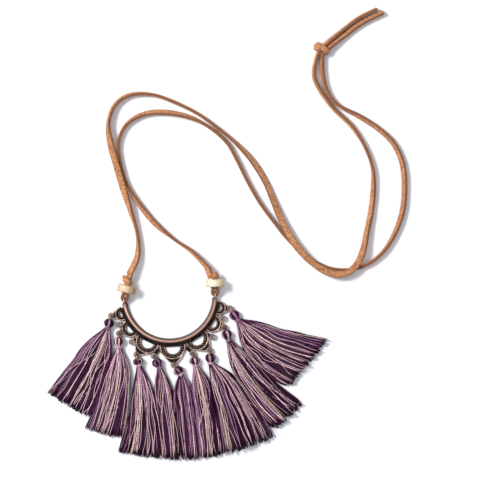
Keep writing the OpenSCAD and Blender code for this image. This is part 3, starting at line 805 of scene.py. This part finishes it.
def bunched_yarns(bunch, pale_shares, rng):
    """Yarn of each thread in a head: the threads of a bunch share one, so that the head shows
    bands. Three of the bunches are pale, and no two of them lie side by side."""
    pale = pale_yarns(BUNCHES, pale_shares, rng)
    is_pale = (np.arange(BUNCHES) + rng.integers(3)) % 3 == 0
    return np.where(is_pale, pale, rng.choice(2, BUNCHES))[bunch]


def tie_thread(tassel, turns=2.5):
    """A helix round the neck, whose turns lie side by side."""
    t = np.linspace(0, 1, int(turns * 18))
    angle = 2 * np.pi * turns * t + 1.2
    plan = (tassel.neck + np.outer(-0.5 + t, tassel.hang)
            + np.outer((TIE_RADIUS + 0.1) * np.cos(angle), tassel.beside))
    height = RING_HEIGHT + (TIE_RADIUS + 0.1) * np.sin(angle)
    return np.column_stack([plan, height])[None]


# %% [markdown]
# A dark core fills the middle of each skirt, so that no light passes where threads part. It
# stops short of the hem, and every thread outside it lies in front of it.


# %% Core of a skirt
def skirt_core(name, tassel):
    """Rings across the skirt: an ellipse nine tenths as wide as the edges and two thirds as
    thick as the slab, from the tie to a little before the hem."""
    v = np.linspace(0.0, 0.94, 16)
    left, right = tassel.edge(False, v), tassel.edge(True, v)
    half = (right - left) / 2
    width = np.maximum(np.linalg.norm(half, axis=-1), 1.0) * 0.9
    half_height, middle = tassel.slab(v)
    path = np.column_stack([(left + right) / 2, middle])
    sizes = np.stack([width, half_height * 0.66], axis=-1)
    across = np.column_stack([-unit(half), np.zeros(len(v))])
    return skin(name, carry(path, across, circle(24) * sizes[:, None])[None])


# %% Make the nine tassels
HEAD_THREAD_RADIUS = 0.19
# Painted shade at the hem: the last two rings of every skirt thread keep only this share of their
# colour.
painted_hem_shade = np.ones(SKIRT_RINGS)
painted_hem_shade[-2:] = 0.95, 0.65  # light that the last two rings of a thread keep
tie_yarns = ["lilac", "pink", "pink", "lilac", "pink", "pink", "pink", "lilac", "lilac"]
skirts, cores, heads = [], [], []
for number, (tassel, (pale_shares, bands)) in enumerate(zip(tassels, pale_rows), 1):
    rng = np.random.default_rng(100 + number)
    strands = plan_strands(tassel, pale_shares, bands, rng)
    paths, of = skirt_threads(tassel, strands, rng)
    colours = thread_colours(strands["yarn"][of], rng) * painted_hem_shade[:, None]
    skirt = spin(f"tassel_{number}_threads", paths, colours, THREAD_RADIUS)
    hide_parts(f"tassel_{number}")
    bunch = np.arange(HEAD_THREADS) % BUNCHES
    fold_colours = thread_colours(bunched_yarns(bunch, pale_shares, rng), rng)
    fold = spin("fold", head_threads(tassel, bunch, rng), fold_colours, HEAD_THREAD_RADIUS)
    tie = spin("tie", tie_thread(tassel), yarns[tie_yarns[number - 1]], HEAD_THREAD_RADIUS)
    heads.append(one_piece(f"tassel_{number}_head", [fold, tie]))
    skirts.append(skirt)
    cores.append(skirt_core(f"tassel_{number}_core", tassel))
print("threads:", sum(len(s.data.polygons) for s in skirts), "faces")

# %% [markdown]
# ## Finishes
# Every finish is a small graph of nodes on the piece's own coordinates. A few helpers add a node
# and connect it, so that a finish reads as a list of what it is made of.


# %% Helpers for node graphs
def rgba(red, green, blue):
    """A colour that lets no light through."""
    return (red, green, blue, 1.0)


def new_finish(name):
    """A material with its main shader, ready for nodes."""
    material = bpy.data.materials.new(name)
    material.use_nodes = True
    return material, material.node_tree, material.node_tree.nodes["Principled BSDF"]


def fill(tree, node, sockets):
    """Fills sockets of a node: another node's socket is linked, anything else set as a value."""
    for key, value in sockets.items():
        if isinstance(value, bpy.types.NodeSocket):
            tree.links.new(value, node.inputs[key])
        else:
            node.inputs[key].default_value = value


def add(tree, kind, sockets, **settings):
    """Adds a node, applies its settings, and fills its sockets."""
    node = tree.nodes.new("ShaderNode" + kind)
    for key, value in settings.items():
        setattr(node, key, value)
    fill(tree, node, sockets)
    return node


def on_piece(tree):
    """The point's own coordinates on its piece, in metres."""
    return add(tree, "TexCoord", {}).outputs["Object"]


# %% Helpers for shares, colours and relief
MIX_SHARE, MIX_FROM, MIX_TO, MIXED = 0, 6, 7, 2  # the Mix node's sockets for colours


def calculate(tree, operation, *values):
    """One sum, product or the like, of numbers or sockets."""
    return add(tree, "Math", dict(enumerate(values)), operation=operation).outputs[0]


def mix(tree, share, a, b):
    """Colour a changed towards colour b by the share."""
    return add(tree, "Mix", {MIX_SHARE: share, MIX_FROM: a, MIX_TO: b},
               data_type="RGBA", clamp_factor=True).outputs[MIXED]


def ramp(tree, value, low, high, to_low=0.0, to_high=1.0):
    """Share that goes smoothly from one value to another as the input goes from low to high."""
    return add(tree, "MapRange", {"Value": value, "From Min": low, "From Max": high, "To Min": to_low,
                                  "To Max": to_high}, interpolation_type="SMOOTHSTEP").outputs["Result"]


def noise(tree, where, scale, detail=3.0):
    """Cloudy share with so many cells a metre, and finer clouds on it by the detail."""
    return add(tree, "TexNoise", {"Vector": where, "Scale": scale, "Detail": detail,
                                  "Roughness": 0.55}).outputs["Fac"]


def bump(tree, height, distance, strength, **under):
    """Relief as high as the distance, laid on the Normal under it if one is given."""
    return add(tree, "Bump", {"Height": height, "Distance": distance, "Strength": strength,
                              **under}).outputs["Normal"]


def finish_pieces(material, pieces, slot):
    """Gives pieces their only finish, hangs them on the root body, and prints the finish, its node
    count and the slot's name.
    """
    for piece in pieces:
        piece.data.materials.clear()
        piece.data.materials.append(material)
        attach(piece, "root")
    print(material.name, "of", len(material.node_tree.nodes), "nodes on", len(pieces), slot, "pieces")


# %% [markdown]
# ### Suede
# Suede is the split inner side of a hide, with a short nap. It has no gloss: light scatters in
# the fibres, which a sheen layer gives. The nap lies this way and that, so the colour wavers
# over a few tenths of a millimetre, and the cut edges are darker.

# %% Suede finish
suede, tree, shader = new_finish("tan_suede")
where = on_piece(tree)
slow, nap, fibre = noise(tree, where, 90.0), noise(tree, where, 1000.0, 5.0), noise(tree, where, 3600.0)
tan = mix(tree, ramp(tree, slow, 0.35, 0.65), rgba(0.44, 0.185, 0.076), rgba(0.56, 0.25, 0.105))
tan = mix(tree, ramp(tree, nap, 0.42, 0.62, 0.0, 0.8), tan, rgba(0.20, 0.068, 0.025))
tan = mix(tree, ramp(tree, fibre, 0.48, 0.7, 0.0, 0.6), tan, rgba(0.74, 0.41, 0.22))
edge = add(tree, "Attribute", {}, attribute_name="cut_edge").outputs["Fac"]
fill(tree, shader, {
    "Base Color": mix(tree, ramp(tree, edge, 0.0, 1.0, 0.0, 0.8), tan, rgba(0.16, 0.058, 0.026)),
    "Normal": bump(tree, fibre, 0.06 * MM, 0.9, Normal=bump(tree, nap, 0.12 * MM, 0.8)),
    "Roughness": 0.92,
    "Specular IOR Level": 0.2,
    "Sheen Weight": 0.25,
    "Sheen Roughness": 0.6,
    "Sheen Tint": rgba(1.0, 0.82, 0.68),
})
finish_pieces(suede, [*laces.values(), *loops.values(), *knots.values(), tie_knot], "lace")

# %% [markdown]
# ### Antique copper
# The casting was plated, blackened all over, and then wiped, so the dark coat stays in the
# recesses and the copper shows wherever a cloth could reach. How high a point lies says that
# well enough here: the backing is dark, and the tops of rims and grains are bright in patches.
# The eyes stand highest and are a little darker. On the round bar, found by how far a point lies
# from the arc's middle line, the copper within 0.7 mm of that line is a painted highlight: full
# along the outer half and a quarter along the inner half. Its flanks stay dark, partly from the
# coat in the crease and partly as painted shade. The wire of the rings is rubbed bright in patches
# only.


# %% Where the copper shows: coat rubbed off, and the bar's painted highlight
def casting_wear_and_highlight(tree, where, cloud):
    """Share of bright copper at each point of the casting, and the bar's part of it. The coat is
    rubbed off the tops; on the bar the share is a painted highlight, full on its outer half and a
    quarter on its inner half, with flanks left dark, partly coat and partly painted shade.
    """
    height = add(tree, "SeparateXYZ", {0: where}).outputs["Z"]
    flat = add(tree, "VectorMath", {0: where, 1: (1.0, 1.0, 0.0)}, operation="MULTIPLY").outputs[0]
    centre = (*arc_centre * MM, 0.0)
    reach = add(tree, "VectorMath", {0: flat, 1: centre}, operation="DISTANCE").outputs["Value"]
    aside = calculate(tree, "SUBTRACT", reach, ARC_RADIUS * MM)
    tops = ramp(tree, height, 1.29 * MM, 1.42 * MM)
    for darker in (
        ramp(tree, height, 1.55 * MM, 1.7 * MM, 1.0, 0.6),
        ramp(tree, reach, (ARC_RADIUS + 1.1) * MM, (ARC_RADIUS + 1.3) * MM),
        ramp(tree, cloud, 0.3, 0.6, 0.35, 1.0),
    ):
        tops = calculate(tree, "MULTIPLY", tops, darker)
    # Painted highlight on the bar: within 0.7 mm of its middle line, full on the outer half and a
    # quarter on the inner half; the flanks stay dark, partly coat in the crease and partly painted
    # shade.
    bar = calculate(tree, "MULTIPLY",
                    ramp(tree, calculate(tree, "ABSOLUTE", aside), 1.05 * MM, 0.7 * MM),
                    ramp(tree, aside, -0.25 * MM, 0.15 * MM, 0.25, 1.0))
    return calculate(tree, "MAXIMUM", tops, bar), bar


# %% Antique copper finish
for name, pieces in {"antique_copper": [casting], "copper_wire": jump_rings}.items():
    material, tree, shader = new_finish(name)
    where = on_piece(tree)
    grain, cloud = noise(tree, where, 2600.0, 4.0), noise(tree, where, 420.0)
    if casting in pieces:
        copper_share, bar = casting_wear_and_highlight(tree, where, cloud)
        # On the bar the pinker, brighter copper follows the painted highlight.
        shine = mix(tree, bar, rgba(0.57, 0.41, 0.34), rgba(0.84, 0.51, 0.40))
    else:
        copper_share, shine = ramp(tree, cloud, 0.3, 0.62, 0.1, 0.85), rgba(0.68, 0.42, 0.33)
    bright = mix(tree, ramp(tree, grain, 0.35, 0.65, 0.4, 0.0), shine, rgba(0.30, 0.13, 0.08))
    fill(tree, shader, {
        "Base Color": mix(tree, copper_share, rgba(0.010, 0.005, 0.004), bright),
        "Normal": bump(tree, grain, 0.02 * MM, 0.6),
        "Roughness": ramp(tree, copper_share, 0.0, 1.0, 0.7, 0.54),
        "Metallic": ramp(tree, copper_share, 0.0, 0.6, 0.0, 1.0),
        "Specular IOR Level": 0.15,
    })
    finish_pieces(material, pieces, "metal")

# %% [markdown]
# ### Beads
# The beads are pale and a little translucent, with fine streaks along the hole, which are noise
# stretched along the bead. An olive colour lies on them in clouds, which is stain, and grows with X
# towards the right side, away from the light, which is painted shade. The left bead is darker, so
# each has three colours of its own: pale, stain and shade, streak.

# %% Bead finish
# Each bead: its pale colour, the olive of its stain and painted shade, and its streak colour.
bead_colours = {
    "left": [rgba(0.70, 0.52, 0.34), rgba(0.34, 0.22, 0.08), rgba(0.32, 0.20, 0.09)],
    "right": [rgba(0.82, 0.70, 0.54), rgba(0.62, 0.50, 0.24), rgba(0.46, 0.34, 0.17)],
}
for side, bead in beads.items():
    material, tree, shader = new_finish(f"pale_bead_{side}")
    where = on_piece(tree)
    turned = add(tree, "Mapping", {"Vector": where, "Rotation": (0, 0, np.radians(end_heading[side])),
                                   "Scale": (1.0, 0.22, 1.0)}).outputs[0]
    streak, cloud = noise(tree, turned, 1500.0, 4.0), noise(tree, where, 450.0)
    across = add(tree, "SeparateXYZ", {0: where}).outputs["X"]
    middle = float(end_place(side, 0.0, RING_TO_BEAD, 0.0)[0]) * MM
    # Olive: stain in clouds, plus painted shade that grows with X towards the bead's right side, away
    # from the light.
    stain_and_shade = calculate(tree, "ADD", ramp(tree, cloud, 0.4, 0.65, 0.0, 0.35),
                      ramp(tree, across, middle - 1.0 * MM, middle + 4.5 * MM, 0.0, 0.75))
    pale_colour, stain_and_shade_colour, streak_colour = bead_colours[side]
    cream = mix(tree, stain_and_shade, pale_colour, stain_and_shade_colour)
    fill(tree, shader, {
        "Base Color": mix(tree, ramp(tree, streak, 0.5, 0.72, 0.0, 0.6), cream, streak_colour),
        "Normal": bump(tree, streak, 0.05 * MM, 0.5),
        "Roughness": 0.5,
        "Subsurface Weight": 0.15,
        "Subsurface Radius": (1.2 * MM, 0.8 * MM, 0.4 * MM),
    })
    finish_pieces(material, [bead], "bead")

# %% [markdown]
# ### Thread
# The threads are silky, spun from two plies. The colour comes from the yarn, as an attribute on
# the mesh, with painted shade at the cut ends of the skirts' threads. The twist is a slanting wave
# on the map along and around the thread, which paints shade into the groove between the plies and
# dents it.

# %% Thread finish
thread, tree, shader = new_finish("silky_thread")
# The attribute holds the yarn colours, with painted shade at the cut ends of the skirts.
dye_and_hem_shade = add(tree, "Attribute", {}, attribute_name="dye_and_hem_shade").outputs["Color"]
where = add(tree, "UVMap", {}, uv_map="Along").outputs["UV"]
slant = add(tree, "Mapping", {"Vector": where, "Scale": (0.9, 2.0, 1.0)}).outputs[0]
ply = add(tree, "TexWave", {"Vector": slant, "Scale": 0.5, "Distortion": 0.6},
          wave_type="BANDS", bands_direction="DIAGONAL").outputs["Fac"]
shade = noise(tree, on_piece(tree), 700.0)
colour = mix(tree, ramp(tree, shade, 0.35, 0.65, 0.0, 0.2), dye_and_hem_shade, rgba(0.0, 0.0, 0.0))
# The ply wave paints shade into the groove between the plies, towards near black, and dents it.
fill(tree, shader, {
    "Base Color": mix(tree, ramp(tree, ply, 0.0, 0.5, 0.3, 0.0), colour, rgba(0.02, 0.005, 0.02)),
    "Normal": bump(tree, ply, 0.05 * MM, 0.5),
    "Roughness": 0.5,
    "Specular IOR Level": 0.12,
})
finish_pieces(thread, [*skirts, *heads], "threads")

# %% [markdown]
# The core stands for threads deep inside the skirt, which hardly any light reaches. Dark streaks
# along it, from noise stretched on the map, are all that shows between the threads on top.

# %% Finish of the cores
core_finish, tree, shader = new_finish("shaded_threads")
where = add(tree, "UVMap", {}, uv_map="Along").outputs["UV"]
streaks = add(tree, "Mapping", {"Vector": where, "Scale": (0.05, 60.0, 1.0)}).outputs[0]
strand = noise(tree, streaks, 1.0, 2.0)
dark, less_dark = rgba(0.018, 0.004, 0.016), rgba(0.08, 0.02, 0.07)
fill(tree, shader, {
    "Base Color": mix(tree, ramp(tree, strand, 0.4, 0.7), dark, less_dark),
    "Normal": bump(tree, strand, 0.3 * MM, 0.8),
    "Roughness": 0.8,
})
finish_pieces(core_finish, cores, "threads")

# %% [markdown]
# ## Table and light
# The table is a plain white sheet. The light comes from one soft box at the upper left, about
# 52 degrees above the table, so every shadow falls to the right and a little down, by about
# three quarters of the height that casts it.

# %% Table
TABLE_HALF = 3.0
table_mesh = bpy.data.meshes.new("white_table")
table_corners = [(x * TABLE_HALF, y * TABLE_HALF, 0) for x, y in ((-1, -1), (1, -1), (1, 1), (-1, 1))]
table_mesh.from_pydata(table_corners, [], [(0, 1, 2, 3)])
white, tree, shader = new_finish("white_card")
fill(tree, shader, {"Base Color": rgba(0.88, 0.88, 0.89), "Roughness": 0.9, "Specular IOR Level": 0.1})
table_mesh.materials.append(white)
table = put_in_scene("white_table", table_mesh)
print("table", 2 * TABLE_HALF, "m wide")

# %% Soft box
from mathutils import Vector

toward_light = unit(np.array([-0.9, 0.45, 1.3]))
LIGHT_DISTANCE, LIGHT_WIDTH, LIGHT_WATTS = 1.3, 0.34, 16.0
soft_box = put_in_scene("soft_box", bpy.data.lights.new("soft_box", "AREA"))
soft_box.data.shape, soft_box.data.size, soft_box.data.energy = "DISK", LIGHT_WIDTH, LIGHT_WATTS
soft_box.data.color = (1.0, 0.985, 0.96)
soft_box.location = np.array([*view_centre, 0.0]) * MM + toward_light * LIGHT_DISTANCE
soft_box.rotation_mode = "QUATERNION"
soft_box.rotation_quaternion = Vector(toward_light).to_track_quat("Z", "Y")
print("light from", toward_light.round(2))

# %% [markdown]
# A pale room fills the shadows to a cool grey. It is a white ceiling over darker walls: its
# strength is that of the walls plus the ceiling's times the square of the height in the direction
# of view. On polished copper the ceiling makes the pale line on top of each round part, and the
# walls make the dark lines beside it.

# %% Room
WALLS, CEILING = 0.2, 0.88
room = bpy.data.worlds.new("pale_room")
room.use_nodes = True
tree = room.node_tree
toward = add(tree, "TexCoord", {}).outputs["Generated"]
height = calculate(tree, "MAXIMUM", add(tree, "SeparateXYZ", {0: toward}).outputs["Z"], 0.0)
strength = calculate(tree, "MULTIPLY_ADD", calculate(tree, "POWER", height, 2.0), CEILING, WALLS)
fill(tree, tree.nodes["Background"], {"Strength": strength, "Color": rgba(0.89, 0.915, 1.0)})
bpy.context.scene.world = room
bpy.context.scene.view_settings.view_transform = "Standard"
print("room:", len(tree.nodes), "nodes, walls", WALLS, "ceiling", WALLS + CEILING)
